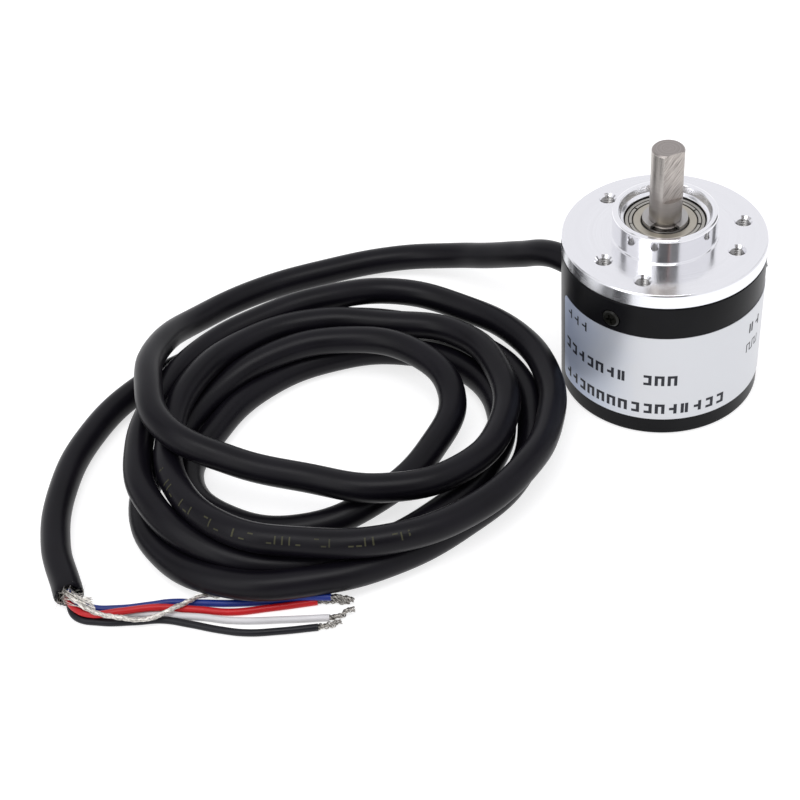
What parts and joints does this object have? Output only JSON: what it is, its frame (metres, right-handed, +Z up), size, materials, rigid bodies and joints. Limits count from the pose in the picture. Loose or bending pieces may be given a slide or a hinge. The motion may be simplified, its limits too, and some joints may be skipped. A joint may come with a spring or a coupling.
{
  "type": "rotary encoder",
  "caption": "Small incremental rotary encoder: round black case, polished flange with centring boss, D-cut shaft on ball bearings and a long loose cable with stripped cores.",
  "frame": {"origin": "centre of the case's flat underside", "axes": "+Z up along the shaft, out of the boss; -Y towards the front of the label"},
  "size_m": [0.138, 0.1022, 0.052],
  "materials": {
    "case_black": "satin black anodised",
    "label_foil": "silver foil label with printed marks",
    "screw_black": "black oxide",
    "flange_aluminium": "polished, fine turned",
    "shaft_steel": "ground stainless",
    "bearing_steel": "fine turned",
    "bearing_dark_steel": "ground, dark",
    "ball_steel": "polished",
    "cage_nylon": "moulded",
    "shield_steel": "pressed",
    "inner_aluminium": "turned",
    "ring_steel": "spring steel",
    "disc_steel": "etched sheet",
    "inner_black_plastic": "moulded",
    "led_clear": "clear epoxy",
    "reticle_glass": "clear",
    "sensor_chip": "gloss",
    "board_green": "solder mask",
    "brass": "turned",
    "header_plastic": "moulded",
    "grommet_rubber": "moulded",
    "tie_nylon": "moulded",
    "cable_jacket": "extruded satin",
    "core_red": "extruded",
    "core_black": "extruded",
    "core_white": "extruded",
    "core_blue": "extruded",
    "tinned_copper": "fine tinned strands"
  },
  "bodies": {
    "root": {"housing_cup": "case_black", "rating_label": "label_foil", "case_screws": "screw_black", "flange_body": "flange_aluminium", "front_outer_ring": "bearing_steel", "front_shields": "shield_steel", "rear_outer_ring": "bearing_steel", "rear_shields": "shield_steel", "led_holder": "inner_black_plastic", "led_emitter": "led_clear", "reticle": "reticle_glass", "sensor_block": "inner_black_plastic", "photosensor": "sensor_chip", "circuit_board": "board_green", "board_standoffs": "brass", "board_screws": "ring_steel", "board_parts": "inner_black_plastic", "solder_header": "header_plastic", "cable_grommet": "grommet_rubber", "cable_tie": "tie_nylon", "cable_entry": "cable_jacket", "inner_cores": "core_red", "cable_lead": "cable_jacket", "cable_turn_1": "cable_jacket", "cable_turn_2": "cable_jacket", "cable_turn_3": "cable_jacket", "cable_turn_4": "cable_jacket", "cable_turn_5": "cable_jacket", "cable_tail": "cable_jacket", "wire_red": "core_red", "wire_black": "core_black", "wire_white": "core_white", "wire_blue": "core_blue", "shield_drain": "tinned_copper", "wire_tips": "tinned_copper"},
    "rotor": {"shaft": "shaft_steel", "front_inner_ring": "bearing_dark_steel", "rear_inner_ring": "bearing_dark_steel", "bearing_spacer": "inner_aluminium", "front_retaining_ring": "ring_steel", "wave_washer": "ring_steel", "rear_retaining_ring": "ring_steel", "disc_hub": "inner_aluminium", "grub_screw": "screw_black", "code_disc": "disc_steel", "disc_clamp": "inner_aluminium"},
    "front_ball_set": {"front_balls": "ball_steel", "front_cage": "cage_nylon"},
    "rear_ball_set": {"rear_balls": "ball_steel", "rear_cage": "cage_nylon"}
  },
  "joints": [
    {"name": "shaft_spin", "type": "hinge", "parent": "root", "child": "rotor", "pos_m": [0, 0, 0], "axis": [0, 0, 1], "continuous": true},
    {"name": "front_ball_spin", "type": "hinge", "parent": "root", "child": "front_ball_set", "pos_m": [0, 0, 0.034], "axis": [0, 0, 1], "continuous": true},
    {"name": "rear_ball_spin", "type": "hinge", "parent": "root", "child": "rear_ball_set", "pos_m": [0, 0, 0.0267], "axis": [0, 0, 1], "continuous": true}
  ],
  "couplings": [
    {"joint": "front_ball_spin", "follows": "shaft_spin", "ratio": 0.39048},
    {"joint": "rear_ball_spin", "follows": "shaft_spin", "ratio": 0.39048}
  ]
}
